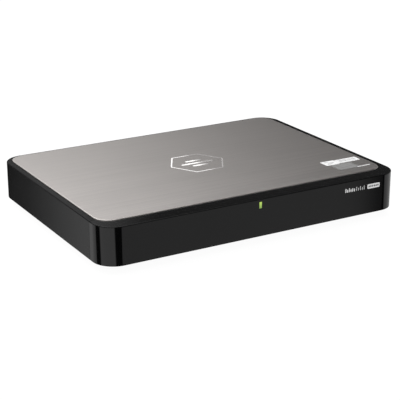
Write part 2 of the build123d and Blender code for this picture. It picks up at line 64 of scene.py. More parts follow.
def add_camera():
    """A long lens from the front left, a little above, as a product is usually shown."""
    level = cos(CAMERA_RISE)
    back = Vector((sin(CAMERA_TURN) * level, -cos(CAMERA_TURN) * level, sin(CAMERA_RISE)))
    right = Vector((cos(CAMERA_TURN), sin(CAMERA_TURN), 0))
    up = back.cross(right)
    aim = Vector((0, 0, CAMERA_AIM_HEIGHT)) + right * CAMERA_AIM_RIGHT + up * CAMERA_AIM_UP
    rolled_right = right * cos(CAMERA_ROLL) + up * sin(CAMERA_ROLL)
    rolled_up = up * cos(CAMERA_ROLL) - right * sin(CAMERA_ROLL)
    data = bpy.data.cameras.new("camera")
    data.lens = CAMERA_LENS
    data.sensor_width = 36
    data.clip_end = 60
    camera = bpy.data.objects.new("camera", data)
    turn = Matrix((rolled_right, rolled_up, back)).transposed()
    camera.matrix_world = Matrix.Translation(aim + back * CAMERA_DISTANCE) @ turn.to_4x4()
    SCENE.collection.objects.link(camera)
    SCENE.camera = camera


# ---------------------------------------------------------------- shader helpers

def math_node(tree, operation, first, second=None, third=None):
    """A Math node fed by sockets or numbers. Returns its output."""
    made = tree.nodes.new("ShaderNodeMath")
    made.operation = operation
    for slot, value in zip(made.inputs, (first, second, third)):
        if value is None:
            continue
        if isinstance(value, bpy.types.NodeSocket):
            tree.links.new(value, slot)
        else:
            slot.default_value = value
    return made.outputs[0]


def spread(tree, value, low, high, from_low=0.0, from_high=1.0, smooth=False):
    """Maps a socket's values from one range onto another. Returns the output."""
    made = tree.nodes.new("ShaderNodeMapRange")
    made.interpolation_type = "SMOOTHSTEP" if smooth else "LINEAR"
    tree.links.new(value, made.inputs[0])
    for slot, number in zip(made.inputs[1:5], (from_low, from_high, low, high)):
        slot.default_value = number
    return made.outputs[0]


def tinted(tree, amount, dark, light):
    """A colour between two, by a socket from 0 to 1. Returns the output."""
    made = tree.nodes.new("ShaderNodeMix")
    made.data_type = "RGBA"
    tree.links.new(amount, made.inputs[0])
    made.inputs[6].default_value = (*dark, 1)
    made.inputs[7].default_value = (*light, 1)
    return made.outputs[2]


def shader(name):
    """A new material, its tree, its Principled shader and the object's own coordinates."""
    material = bpy.data.materials.new(name)
    material.use_nodes = True
    tree = material.node_tree
    principled = tree.nodes["Principled BSDF"]
    place = tree.nodes.new("ShaderNodeTexCoord").outputs["Object"]
    return material, tree, principled, place


def stretched(tree, place, scale):
    """Coordinates scaled by a different number on each axis."""
    mapping = tree.nodes.new("ShaderNodeMapping")
    mapping.inputs["Scale"].default_value = scale
    tree.links.new(place, mapping.inputs[0])
    return mapping.outputs[0]


def noise(tree, place, scale, detail=3.0, roughness=0.55):
    """A noise value, from 0 to 1, at a number of features per metre."""
    made = tree.nodes.new("ShaderNodeTexNoise")
    made.inputs["Scale"].default_value = scale
    made.inputs["Detail"].default_value = detail
    made.inputs["Roughness"].default_value = roughness
    tree.links.new(place, made.inputs["Vector"])
    return made.outputs[0]


def band(tree, value, low, high, soft):
    """1 between two values, 0 outside, with soft ends."""
    rise = spread(tree, value, 0, 1, low - soft, low + soft, True)
    fall = spread(tree, value, 1, 0, high - soft, high + soft, True)
    return math_node(tree, "MULTIPLY", rise, fall)


def product(tree, *values):
    """Sockets and numbers multiplied together."""
    total = values[0]
    for value in values[1:]:
        total = math_node(tree, "MULTIPLY", total, value)
    return total


def bump(tree, principled, height, strength, distance):
    """Feeds a height into the shader's normal."""
    made = tree.nodes.new("ShaderNodeBump")
    made.inputs["Strength"].default_value = strength
    made.inputs["Distance"].default_value = distance
    tree.links.new(height, made.inputs["Height"])
    tree.links.new(made.outputs[0], principled.inputs["Normal"])


# ---------------------------------------------------------------- materials

PLASTIC_IOR = 1.46
GRAIN_HEIGHT = 0.02 * MM


def moulded(name, colour, roughness, grain=2600, relief=0.2, level=0.5, painted_edge_shade=0.0):
    """Moulded plastic with fine grain and faint cloudiness. Its last argument paints shade on its sloping
    upper faces by taking reflection off them.
    """
    material, tree, principled, place = shader(name)
    cloud = noise(tree, place, 28, 4)
    grains = noise(tree, place, grain, 2)
    light = [min(1, channel * 1.25 + 0.001) for channel in colour]
    tree.links.new(tinted(tree, cloud, colour, light), principled.inputs["Base Color"])
    marks = math_node(tree, "ADD", product(tree, cloud, 0.6), product(tree, grains, 0.4))
    gloss = spread(tree, marks, roughness * 0.82, roughness * 1.18, 0.3, 0.7)
    tree.links.new(gloss, principled.inputs["Roughness"])
    principled.inputs["IOR"].default_value = PLASTIC_IOR
    specular = principled.inputs["Specular IOR Level"]
    specular.default_value = level
    # Painted shade: reflection is cut on faces that slope upwards, such as the rounded upper edges.
    if painted_edge_shade:
        facing = tree.nodes.new("ShaderNodeSeparateXYZ")
        normal = tree.nodes.new("ShaderNodeNewGeometry").outputs["Normal"]
        tree.links.new(normal, facing.inputs[0])
        edge = band(tree, facing.outputs[2], 0.14, 0.95, 0.04)
        tree.links.new(spread(tree, edge, level, level * (1 - painted_edge_shade)), specular)
    bump(tree, principled, grains, relief, GRAIN_HEIGHT)
    return material


def sheet_metal(name, colour, roughness, lines=(40, 900, 900), relief=0.1):
    """Bare metal with a directional grain and cloudy variation."""
    material, tree, principled, place = shader(name)
    grain = noise(tree, stretched(tree, place, lines), 1.0, 3)
    cloud = noise(tree, place, 35, 3)
    light = [min(1, channel * 1.08) for channel in colour]
    dark = [channel * 0.9 for channel in colour]
    mixed = math_node(tree, "MULTIPLY_ADD", grain, 0.5, product(tree, cloud, 0.5))
    tree.links.new(tinted(tree, mixed, dark, light), principled.inputs["Base Color"])
    gloss = spread(tree, mixed, roughness * 0.8, roughness * 1.2, 0.3, 0.7)
    tree.links.new(gloss, principled.inputs["Roughness"])
    principled.inputs["Metallic"].default_value = 1
    bump(tree, principled, grain, relief, GRAIN_HEIGHT)
    return material


def brushed_plate():
    """Anodised aluminium with fine brush lines along X, with painted shade that keeps it lighter towards the
    front and darker towards the back.
    """
    material, tree, principled, place = shader("brushed_aluminium")
    fine = noise(tree, stretched(tree, place, (14, 5200, 5200)), 1.0, 4, 0.7)
    broad = noise(tree, stretched(tree, place, (5, 420, 420)), 1.0, 3, 0.6)
    cloud = noise(tree, place, 9, 2)
    lines = math_node(tree, "MULTIPLY_ADD", fine, 0.62, product(tree, broad, 0.38))
    mixed = math_node(tree, "MULTIPLY_ADD", lines, 0.85, product(tree, cloud, 0.15))
    axes = tree.nodes.new("ShaderNodeSeparateXYZ")
    tree.links.new(place, axes.inputs[0])
    # Painted shade: the colour is darkened from the front of the plate to its back.
    depth = spread(tree, axes.outputs[1], 1, 0.28, PLATE_LOW.y, PLATE_HIGH.y)
    amount = product(tree, spread(tree, mixed, 0.3, 1.15, 0.3, 0.7), depth)
    colour = tinted(tree, amount, (0.40, 0.380, 0.368), (0.69, 0.656, 0.636))
    tree.links.new(colour, principled.inputs["Base Color"])
    tree.links.new(spread(tree, lines, 0.40, 0.46, 0.3, 0.7), principled.inputs["Roughness"])
    principled.inputs["Metallic"].default_value = 1
    principled.inputs["Anisotropic"].default_value = 0.85
    across = tree.nodes.new("ShaderNodeCombineXYZ")
    across.inputs["Y"].default_value = 1
    tree.links.new(across.outputs[0], principled.inputs["Tangent"])
    bump(tree, principled, lines, 0.10, 0.015 * MM)
    return material


def circuit_board():
    """Solder mask over a pattern of traces, with gold pads."""
    material, tree, principled, place = shader("circuit_board")
    cells = tree.nodes.new("ShaderNodeTexBrick")
    cells.inputs["Scale"].default_value = 1.0
    cells.inputs["Brick Width"].default_value = 5.2 * MM
    cells.inputs["Row Height"].default_value = 0.9 * MM
    cells.inputs["Mortar Size"].default_value = 0.13 * MM
    tree.links.new(place, cells.inputs["Vector"])
    traces = cells.outputs["Fac"]
    spots = tree.nodes.new("ShaderNodeTexVoronoi")
    spots.inputs["Scale"].default_value = 170
    tree.links.new(place, spots.inputs["Vector"])
    pads = math_node(tree, "LESS_THAN", spots.outputs["Distance"], 0.11)
    mask = (0.010, 0.055, 0.026)
    masked = tinted(tree, traces, mask, [channel * 1.9 + 0.004 for channel in mask])
    mix = tree.nodes.new("ShaderNodeMix")
    mix.data_type = "RGBA"
    tree.links.new(pads, mix.inputs[0])
    tree.links.new(masked, mix.inputs[6])
    mix.inputs[7].default_value = (0.72, 0.52, 0.20, 1)
    tree.links.new(mix.outputs[2], principled.inputs["Base Color"])
    tree.links.new(pads, principled.inputs["Metallic"])
    tree.links.new(spread(tree, noise(tree, place, 300), 0.25, 0.45), principled.inputs["Roughness"])
    bump(tree, principled, traces, 0.4, 0.03 * MM)
    return material


def print_with_painted_light(name, left, right, from_x, to_x):
    """Print with painted light: bright on its left as if lit, and greyed towards its right by painted shade.
    """
    material, tree, principled, place = shader(name)
    axes = tree.nodes.new("ShaderNodeSeparateXYZ")
    tree.links.new(place, axes.inputs[0])
    # Painted light: the colour goes from a painted highlight on the left to painted grey shade on the right.
    painted_shade = spread(tree, axes.outputs[0], 0, 1, from_x, to_x, True)
    tree.links.new(tinted(tree, painted_shade, left, right), principled.inputs["Base Color"])
    grain = noise(tree, place, 1600, 3)
    tree.links.new(spread(tree, grain, 0.4, 0.6), principled.inputs["Roughness"])
    bump(tree, principled, grain, 0.1, 0.01 * MM)
    return material


def printed(name, colour, roughness=0.45):
    """Ink or paper with a little fibre in it."""
    material, tree, principled, place = shader(name)
    fibre = noise(tree, place, 1800, 3)
    dark = [channel * 0.9 for channel in colour]
    tree.links.new(tinted(tree, fibre, dark, colour), principled.inputs["Base Color"])
    tree.links.new(spread(tree, fibre, roughness * 0.85, roughness * 1.15), principled.inputs["Roughness"])
    bump(tree, principled, fibre, 0.1, 0.01 * MM)
    return material


LIT_X = (-1.75 * MM, 0.75 * MM)


def lamp_plastic(name, top, bottom, low, high):
    """Clear plastic lit from behind over part of its width, brighter towards its top."""
    material, tree, principled, place = shader(name)
    axes = tree.nodes.new("ShaderNodeSeparateXYZ")
    tree.links.new(place, axes.inputs[0])
    grain = noise(tree, place, 900)
    rise = math_node(tree, "MULTIPLY_ADD", grain, 0.1, spread(tree, axes.outputs[2], 0, 0.95, low, high))
    core = band(tree, axes.outputs[0], *LIT_X, 0.35 * MM)
    principled.inputs["Base Color"].default_value = (0.02, 0.03, 0.01, 1)
    tree.links.new(tinted(tree, rise, bottom, top), principled.inputs["Emission Color"])
    tree.links.new(core, principled.inputs["Emission Strength"])
    tree.links.new(spread(tree, grain, 0.2, 0.3), principled.inputs["Roughness"])
    return material


MATERIALS = {
    "black_shell": moulded("black_shell", (0.0016, 0.0016, 0.0017), 0.11, 2400, 0.04, 0.29, painted_edge_shade=0.85),
    "black_cover": moulded("black_cover", (0.0010, 0.0010, 0.0011), 0.07, 1500, 0.01, 0.5, painted_edge_shade=0.85),
    "plate": brushed_plate(),
    "clear": lamp_plastic("lit_light_pipe", (0.46, 0.65, 0.12), (0.24, 0.38, 0.09), 0.0345, 0.038),
    "steel_sheet": sheet_metal("zinc_sheet", (0.52, 0.52, 0.53), 0.36),
    "pan_paint": moulded("powder_coat_pan", (0.012, 0.012, 0.0125), 0.5, 900, 0.6),
    "panel_paint": moulded("powder_coat_panel", (0.010, 0.010, 0.0105), 0.46, 1100, 0.5),
    "frame_plastic": moulded("frame_plastic", (0.012, 0.012, 0.013), 0.42, 1900, 0.3),
    "sled_plastic": moulded("sled_plastic", (0.016, 0.016, 0.017), 0.4, 1900, 0.3),
    "lever_plastic": moulded("lever_plastic", (0.05, 0.05, 0.053), 0.36, 1900, 0.3),
    "rubber": moulded("foot_rubber", (0.012, 0.012, 0.012), 0.75, 700, 0.8, 0.3),
    "screw_steel": sheet_metal("screw_steel", (0.30, 0.30, 0.31), 0.3, (600, 600, 600)),
    "magnet_nickel": sheet_metal("magnet_nickel", (0.66, 0.64, 0.6), 0.16, (300, 300, 300), 0.04),
    "board_green": circuit_board(),
    "chip_black": moulded("chip_epoxy", (0.014, 0.014, 0.015), 0.55, 1600, 0.4),
    "coil_grey": moulded("ferrite", (0.07, 0.07, 0.072), 0.5, 1400, 0.5),
    "capacitor": sheet_metal("capacitor_can", (0.66, 0.66, 0.67), 0.28, (900, 900, 60)),
    "heatsink": sheet_metal("black_anodised", (0.03, 0.03, 0.032), 0.42, (900, 40, 900)),
    "thermal": moulded("thermal_pad", (0.3, 0.36, 0.44), 0.7, 900, 0.3),
    "socket_shell": sheet_metal("tinned_shell", (0.62, 0.61, 0.59), 0.24, (60, 700, 700)),
    "socket_black": moulded("socket_nylon", (0.012, 0.012, 0.012), 0.34, 1500, 0.2),
    "casting": sheet_metal("die_casting", (0.42, 0.42, 0.43), 0.46, (500, 500, 500), 0.4),
    "lid_steel": sheet_metal("stamped_lid", (0.6, 0.6, 0.61), 0.3, (30, 800, 800)),
    "button": moulded("button_plastic", (0.012, 0.012, 0.012), 0.25, 1600, 0.1),
    "flat_cable": moulded("flat_cable", (0.62, 0.62, 0.58), 0.45, 1200, 0.2),
    "standoff_brass": sheet_metal("turned_brass", (0.7, 0.5, 0.22), 0.26, (200, 200, 1500)),
}
GOLD = sheet_metal("contact_gold", (0.8, 0.58, 0.24), 0.22, (500, 500, 500), 0.03)
WHITE_INK = printed("white_ink", (0.80, 0.80, 0.80))
BLACK_INK = printed("black_ink", (0.03, 0.03, 0.03))
LABEL_PAPER = printed("label_paper", (0.74, 0.74, 0.74))
LABEL_FILM = printed("label_film", (0.205, 0.203, 0.20), 0.3)
GREY_INK = printed("grey_ink", (0.30, 0.30, 0.30))
BLUE_PLASTIC = moulded("blue_nylon", (0.004, 0.03, 0.16), 0.35, 1500, 0.1)
GREEN_LENS = moulded("green_lens", (0.03, 0.16, 0.02), 0.2, 900, 0.05)
AMBER_LENS = moulded("amber_lens", (0.30, 0.13, 0.01), 0.2, 900, 0.05)
CERAMIC = moulded("ceramic", (0.22, 0.16, 0.11), 0.5, 1500, 0.1)


# ---------------------------------------------------------------- CAD nodes

FINE_EDGES = {"board_green": 0.05, "flat_cable": 0.03, "socket_shell": 0.08, "screw_steel": 0.08}


def soften(piece, width):
    """Small rounded edges and clean shading, by modifiers that leave the mesh itself alone."""
    for face in piece.data.polygons:
        face.use_smooth = True
    weld = piece.modifiers.new("weld", "WELD")
    weld.merge_threshold = 0.001 * MM
    edge = piece.modifiers.new("edges", "BEVEL")
    edge.width = width
    edge.segments = 2
    edge.limit_method = "ANGLE"
    edge.angle_limit = radians(32)
    edge.use_clamp_overlap = True
    normals = piece.modifiers.new("normals", "WEIGHTED_NORMAL")
    normals.keep_sharp = False


def dress_nodes():
    """Gives every CAD node its material and softens its edges."""
    slots = {row["node"]: row["material_slot"] for row in frame["record"]["subparts"]}
    for name, piece in NODES.items():
        piece.data.materials.clear()
        piece.data.materials.append(MATERIALS[slots[name]])
        soften(piece, FINE_EDGES.get(slots[name], 0.15) * MM)


# ---------------------------------------------------------------- drawing

INK_LIFT = 0.04 * MM
LABEL_THICK = 0.12 * MM
FILM_THICK = 0.08 * MM


def rounded(width, height, radius, steps=6):
    """The outline of a rounded rectangle about the origin, anticlockwise."""
    points = []
    for corner, (side_x, side_y) in enumerate(((1, 1), (-1, 1), (-1, -1), (1, -1))):
        for step in range(steps + 1):
            turn = pi / 2 * (corner + step / steps)
            x = side_x * (width / 2 - radius) + radius * cos(turn)
            points.append((x, side_y * (height / 2 - radius) + radius * sin(turn)))
    return points


def moved(points, x, y):
    """An outline moved on its plane."""
    return [(a + x, b + y) for a, b in points]


def polygon(sides, radius):
    """The outline of a regular polygon about the origin."""
    turns = [2 * pi * k / sides for k in range(sides)]
    return [(radius * cos(turn), radius * sin(turn)) for turn in turns]


def on_top(height):
    """Places drawn on a level plane at a height: X right, Y away."""
    return lambda a, b, lift: (a, b, height + lift)


def on_front(y):
    """Places drawn on an upright plane that faces the front: X right, Z up."""
    return lambda a, b, lift: (a, y - lift, b)


def on_back(y):
    """Places drawn on an upright plane that faces the back: X right from the front, Z up."""
    return lambda a, b, lift: (a, y + lift, b)


def under(height):
    """Places drawn on the underside: X right, Y away."""
    return lambda a, b, lift: (a, b, height - lift)


def across_x(x):
    """Places drawn on an upright plane that faces right: Y away, Z up."""
    return lambda a, b, lift: (x + lift, a, b)


def add_prism(mesh, outline, place, low, high, slot=0):
    """A closed prism of one outline, between two lifts from its plane."""
    rings = [[mesh.verts.new(place(a, b, lift)) for a, b in outline] for lift in (low, high)]
    count = len(outline)
    faces = [mesh.faces.new(rings[1]), mesh.faces.new(rings[0][::-1])]
    for k in range(count):
        after = (k + 1) % count
        faces.append(mesh.faces.new((rings[0][k], rings[0][after], rings[1][after], rings[1][k])))
    for face in faces:
        face.material_index = slot


def add_frame(mesh, outer, inner, place, low, high, slot=0):
    """A closed band between two outlines of as many points, between two lifts."""
    rings = [[mesh.verts.new(place(a, b, lift)) for a, b in outline]
             for outline, lift in ((outer, low), (outer, high), (inner, high), (inner, low))]
    count = len(outer)
    for ring, following in zip(rings, rings[1:] + rings[:1]):
        for k in range(count):
            after = (k + 1) % count
            face = mesh.faces.new((ring[k], ring[after], following[after], following[k]))
            face.material_index = slot


def add_ink(mesh, outline, place, base=None, slot=0):
    """A thin print of one outline: bedded in its plane, or on top of a label of a given thickness."""
    low = -INK_LIFT if base is None else base
    add_prism(mesh, outline, place, low, (base or 0) + INK_LIFT, slot)


def ribbon(points, thickness):
    """The outline of a thin strip that follows a few points."""
    sides = ([], [])
    for k, (a, b) in enumerate(points):
        before = points[max(k - 1, 0)]
        after = points[min(k + 1, len(points) - 1)]
        along = Vector((after[0] - before[0], after[1] - before[1])).normalized() * thickness / 2
        sides[0].append((a - along.y, b + along.x))
        sides[1].append((a + along.y, b - along.x))
    return sides[0][::-1] + sides[1]


def solids_of(node):
    """The lowest and highest corners of each separate solid in a node."""
    mesh = bmesh.new()
    mesh.from_mesh(NODES[node].data)
    bmesh.ops.remove_doubles(mesh, verts=mesh.verts, dist=0.001 * MM)
    left = set(mesh.verts)
    boxes = []
    while left:
        found = [left.pop()]
        for vertex in found:
            for edge in vertex.link_edges:
                other = edge.other_vert(vertex)
                if other in left:
                    left.remove(other)
                    found.append(other)
        spots = [vertex.co for vertex in found]
        low = Vector([min(spot[axis] for spot in spots) for axis in range(3)])
        high = Vector([max(spot[axis] for spot in spots) for axis in range(3)])
        boxes.append((low, high))
    mesh.free()
    return sorted(boxes, key=lambda box: tuple(round(value, 6) for value in (*box[0], *box[1])))


def finish_piece(name, mesh, materials, body, edge=0.0):
    """Turns drawn faces into a piece that rides on a body, with its edges slightly rounded when an edge
    width is given.
    """
    bmesh.ops.recalc_face_normals(mesh, faces=mesh.faces)
    data = bpy.data.meshes.new(name)
    mesh.to_mesh(data)
    mesh.free()
    for material in materials:
        data.materials.append(material)
    piece = bpy.data.objects.new(name, data)
    SCENE.collection.objects.link(piece)
    if edge:
        bevel = piece.modifiers.new("edges", "BEVEL")
        bevel.width = edge
        bevel.segments = 2
        bevel.limit_method = "ANGLE"
        bevel.angle_limit = radians(40)
    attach(piece, body)
    return piece


# ---------------------------------------------------------------- marks and labels

BADGE_AT = (2 * MM, 3.4 * MM)
BADGE_RADIUS = 28 * MM
BADGE_LINE = 1.25 * MM


def add_badge():
    """A six-sided outline with three level bars in it, printed on the plate."""
    mesh = bmesh.new()
    plane = on_top(PLATE_TOP)
    outer = moved(polygon(6, BADGE_RADIUS), *BADGE_AT)
    inner = moved(polygon(6, BADGE_RADIUS - BADGE_LINE * 1.15), *BADGE_AT)
    add_frame(mesh, outer, inner, plane, -INK_LIFT, INK_LIFT)
    for row, length in ((-1, 17 * MM), (0, 33 * MM), (1, 17 * MM)):
        bar = rounded(length, 3.2 * MM, 1.5 * MM)
        add_ink(mesh, moved(bar, BADGE_AT[0], BADGE_AT[1] + row * 7 * MM), plane)
    # The badge ink carries painted light: bright on its left, painted shade towards grey on its right.
    ink = print_with_painted_light("ink_with_painted_light", (0.86, 0.845, 0.835), (0.30, 0.29, 0.285), 0.0, 9 * MM)
    finish_piece("badge", mesh, [ink], "case")


MARKS_X = 90.2 * MM
MARKS_Z = 33.3 * MM
BOX_AT = (121.2 * MM, 33.2 * MM)
TALL_BAR = 3.8


def add_bar_row(mesh, plane, x, heights, width, radius, pitch):
    """Upright bars of several heights that stand on one line."""
    for column, height in enumerate(heights):
        bar = rounded(width * MM, height * MM, radius * MM, 3)
        middle = MARKS_Z + (height - TALL_BAR) * MM / 2
        add_ink(mesh, moved(bar, x + pitch * MM * column, middle), plane)


def add_front_marks():
    """A row of thick and thin bars and a box with dashes, printed on the cover near its right end."""
    mesh = bmesh.new()
    plane = on_front(FRONT)
    thick_bars = (TALL_BAR, 2.6, TALL_BAR, 2.6, 3.2, 2.6)
    thin_bars = (TALL_BAR, 2.6, TALL_BAR, 2.6, TALL_BAR)
    add_bar_row(mesh, plane, MARKS_X, thick_bars, 1.1, 0.35, 1.9)
    add_bar_row(mesh, plane, MARKS_X + 12.0 * MM, thin_bars, 0.5, 0.22, 2.1)
    add_ink(mesh, moved(rounded(13.8 * MM, 4.3 * MM, 0.8 * MM), *BOX_AT), plane)
    for column in range(6):
        dash = moved(rounded(1.3 * MM, 1.6 * MM, 0.3 * MM, 3), (116.2 + 2 * column) * MM, BOX_AT[1])
        add_prism(mesh, dash, plane, INK_LIFT, 1.6 * INK_LIFT, 1)
    finish_piece("front_marks", mesh, [WHITE_INK, BLACK_INK], "front_cover_body")


# Middle X and Y, width, depth and corner of each paper near the plate's front right corner, in mm.
PAPERS = ((108.6, -59.8, 14.6, 11.6, 0.6), (128.2, -59.8, 24.2, 9.6, 0.6), (131.6, -81, 14, 1.5, 0.3))
FILM_AT = (115.6 * MM, -74 * MM)


def add_plate_label():
    """Three strips of paper and a strip of film on the plate, all blank but for bars."""
    plane = on_top(PLATE_TOP)
    paper = bmesh.new()
    for x, y, width, depth, radius in PAPERS:
        sheet = rounded(width * MM, depth * MM, radius * MM)
        add_prism(paper, moved(sheet, x * MM, y * MM), plane, -INK_LIFT, LABEL_THICK)
    for row, (x, length) in enumerate(((106, 5), (110, 7), (107, 6))):
        bar = moved(rounded(length * MM, 0.9 * MM, 0.2 * MM, 2), x * MM, (-56.6 - 3 * row) * MM)
        add_ink(paper, bar, plane, LABEL_THICK, 1)
    for column in range(11):
        bar = rounded((0.5, 0.9, 0.35)[column % 3] * MM, 5.4 * MM, 0.15 * MM, 2)
        add_ink(paper, moved(bar, (119.4 + 1.7 * column) * MM, -59.6 * MM), plane, LABEL_THICK, 1)
    finish_piece("plate_label", paper, [LABEL_PAPER, GREY_INK], "case")
    film = bmesh.new()
    outline = moved(rounded(22.6 * MM, 15.6 * MM, 1.2 * MM), *FILM_AT)
    add_prism(film, outline, plane, -INK_LIFT, FILM_THICK)
    for row in range(5):
        for column in range(4):
            length = (3.6, 2.4, 4.2, 3.0)[(row + column) % 4] * MM
            spot = ((107.6 + 5.2 * column) * MM, (-68.4 - 2.7 * row) * MM)
            add_ink(film, moved(rounded(length, 0.7 * MM, 0.2 * MM, 2), *spot), plane, FILM_THICK, 1)
    finish_piece("plate_film", film, [LABEL_FILM, GREY_INK], "case")


# ---------------------------------------------------------------- sockets

def add_network_contacts():
    """Eight sprung contacts in each network cavity, and two lamps above it."""
    low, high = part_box("lan_ports")
    contacts = bmesh.new()
    lamps = bmesh.new()
    path = [(high.y - 2.6 * MM, low.z + 1.9 * MM), (high.y - 3.6 * MM, low.z + 2.3 * MM),
            (high.y - 10.4 * MM, low.z + 5.6 * MM), (high.y - 11.4 * MM, low.z + 5.9 * MM)]
    for x in (low.x + 8 * MM, high.x - 8 * MM):
        for column in range(8):
            centre = x + (column - 3.5) * 1.02 * MM
            add_prism(contacts, ribbon(path, 0.3 * MM), across_x(centre), -0.22 * MM, 0.22 * MM)
        for slot, side in enumerate((-1, 1)):
            window = rounded(2.6 * MM, 1.5 * MM, 0.3 * MM, 3)
            spot = (x + side * 5.4 * MM, high.z - 1.7 * MM)
            add_prism(lamps, moved(window, *spot), on_back(high.y), -0.2 * MM, 0.15 * MM, slot)
    finish_piece("network_contacts", contacts, [GOLD], "case")
    finish_piece("network_lamps", lamps, [GREEN_LENS, AMBER_LENS], "case")


def add_tongues(name, node, tongues, width, height, plastic, pins):
    """Plastic sleeves over a socket's tongues, with contacts on their undersides."""
    plane = on_back(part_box(node)[1].y)
    mesh = bmesh.new()
    for x, z in tongues:
        sleeve = moved(rounded(width, height, 0.25 * MM, 2), x, z)
        add_prism(mesh, sleeve, plane, -13.2 * MM, -1.4 * MM)
        pin = rounded(0.55 * width / pins, 0.16 * MM, 0.05 * MM, 2)
        for column in range(pins):
            centre = x + (column - (pins - 1) / 2) * (width - 1.2 * MM) / pins
            add_prism(mesh, moved(pin, centre, z - height / 2 - 0.04 * MM), plane, -11.5 * MM, -1.9 * MM, 1)
    finish_piece(name, mesh, [plastic, GOLD], "case")


def add_socket_details():
    """Tongues of the four USB and two display sockets."""
    for name in ("usb_ports_left", "usb_ports_right"):
        low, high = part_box(name)
        middle = (low.x + high.x) / 2
        levels = [(middle, low.z + 4.7 * MM), (middle, low.z + 12.5 * MM)]
        add_tongues(name + "_tongues", name, levels, 11.4 * MM, 2.0 * MM, BLUE_PLASTIC, 4)
    black = MATERIALS["socket_black"]
    tongues = [((low.x + high.x) / 2, low.z + 3.15 * MM) for low, high in solids_of("hdmi_ports")]
    add_tongues("display_tongues", "hdmi_ports", tongues, 10.6 * MM, 1.3 * MM, black, 9)


def add_power_symbol():
    """The usual ring and bar of a power button, printed on its cap."""
    low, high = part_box("power_button")
    middle = ((low.x + high.x) / 2, (low.z + high.z) / 2)
    plane = on_back(high.y)
    mesh = bmesh.new()
    turns = [radians(126 + 288 * k / 28) for k in range(29)]
    outer = [(2.0 * MM * cos(turn), 2.0 * MM * sin(turn)) for turn in turns]
    inner = [(1.6 * MM * cos(turn), 1.6 * MM * sin(turn)) for turn in turns]
    add_ink(mesh, moved(outer + inner[::-1], *middle), plane)
    bar = rounded(0.4 * MM, 1.7 * MM, 0.18 * MM, 3)
    add_ink(mesh, moved(bar, middle[0], middle[1] + 1.45 * MM), plane)
    finish_piece("power_symbol", mesh, [WHITE_INK], "power_button_body")


# ---------------------------------------------------------------- drives and levers

def blank_label(mesh, centre, size, plane, rows):
    """A paper label with rows of level bars, a block of upright bars and an empty box, with no lettering."""
    x, y = centre
    width, depth = size
    add_prism(mesh, moved(rounded(width, depth, 1.5 * MM), x, y), plane, -INK_LIFT, LABEL_THICK)
    step = depth * 0.8 / rows
    for row in range(rows):
        length = width * (0.34, 0.26, 0.38, 0.20, 0.31)[row % 5]
        spot = (x - 0.44 * width + length / 2, y + 0.4 * depth - step * (row + 0.5))
        add_ink(mesh, moved(rounded(length, 0.4 * step, 0.3 * MM, 2), *spot), plane, LABEL_THICK, 1)
    for column in range(26):
        bar = rounded((0.5, 0.95, 0.35, 0.7)[column % 4] * MM, 0.34 * depth, 0.12 * MM, 2)
        spot = (x + (0.02 + 0.43 * column / 25) * width, y + 0.2 * depth)
        add_ink(mesh, moved(bar, *spot), plane, LABEL_THICK, 1)
    box_at = (x + 0.24 * width, y - 0.24 * depth)
    box = moved(rounded(0.42 * width, 0.26 * depth, 0.8 * MM), *box_at)
    hole = moved(rounded(0.40 * width, 0.26 * depth - 0.02 * width, 0.6 * MM), *box_at)
    add_frame(mesh, box, hole, plane, LABEL_THICK, LABEL_THICK + INK_LIFT, 1)


LID_SHEET = 0.8 * MM
LID_DIMPLE = 0.4 * MM


def add_lid_screws(side, x, low):
    """A six-lobed screw in each of the lid's six dimples."""
    mesh = bmesh.new()
    plane = on_top(low.z + LID_DIMPLE)
    disc = polygon(24, 2.2 * MM)
    turns = [2 * pi * k / 24 for k in range(24)]
    reaches = [(1.0 + 0.2 * cos(6 * turn)) * MM for turn in turns]
    lobes = [(reach * cos(turn), reach * sin(turn)) for reach, turn in zip(reaches, turns)]
    for dx in (-45 * MM, 45 * MM):
        for dy in (6.8 * MM, 72.8 * MM, 138.8 * MM):
            spot = (x + dx, low.y + dy)
            add_frame(mesh, moved(disc, *spot), moved(lobes, *spot), plane, -0.02 * MM, 0.5 * MM)
            add_prism(mesh, moved(lobes, *spot), plane, -0.02 * MM, 0.1 * MM)
    steel = MATERIALS["screw_steel"]
    finish_piece(side + "_lid_screws", mesh, [steel], side + "_tray", 0.06 * MM)


def add_drive_details(side):
    """A blank label, lid screws and pressed rings on one drive."""
    low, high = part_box(side + "_drive_lid")
    x = (low.x + high.x) / 2
    label = bmesh.new()
    blank_label(label, (x, high.y - 26.5 * MM), (84 * MM, 37 * MM), on_top(low.z + LID_SHEET), 6)
    finish_piece(side + "_drive_label", label, [LABEL_PAPER, GREY_INK], side + "_tray")
    add_lid_screws(side, x, low)
    rings = bmesh.new()
    hub = (x, low.y + 54.8 * MM)
    for outer, inner in ((37.5, 36.3), (15.2, 14.2), (6.2, 5.4)):
        outlines = [moved(polygon(72, radius * MM), *hub) for radius in (outer, inner)]
        add_frame(rings, *outlines, on_top(high.z), -0.05 * MM, 0.12 * MM)
    steel = MATERIALS["lid_steel"]
    finish_piece(side + "_lid_rings", rings, [steel], side + "_tray", 0.05 * MM)


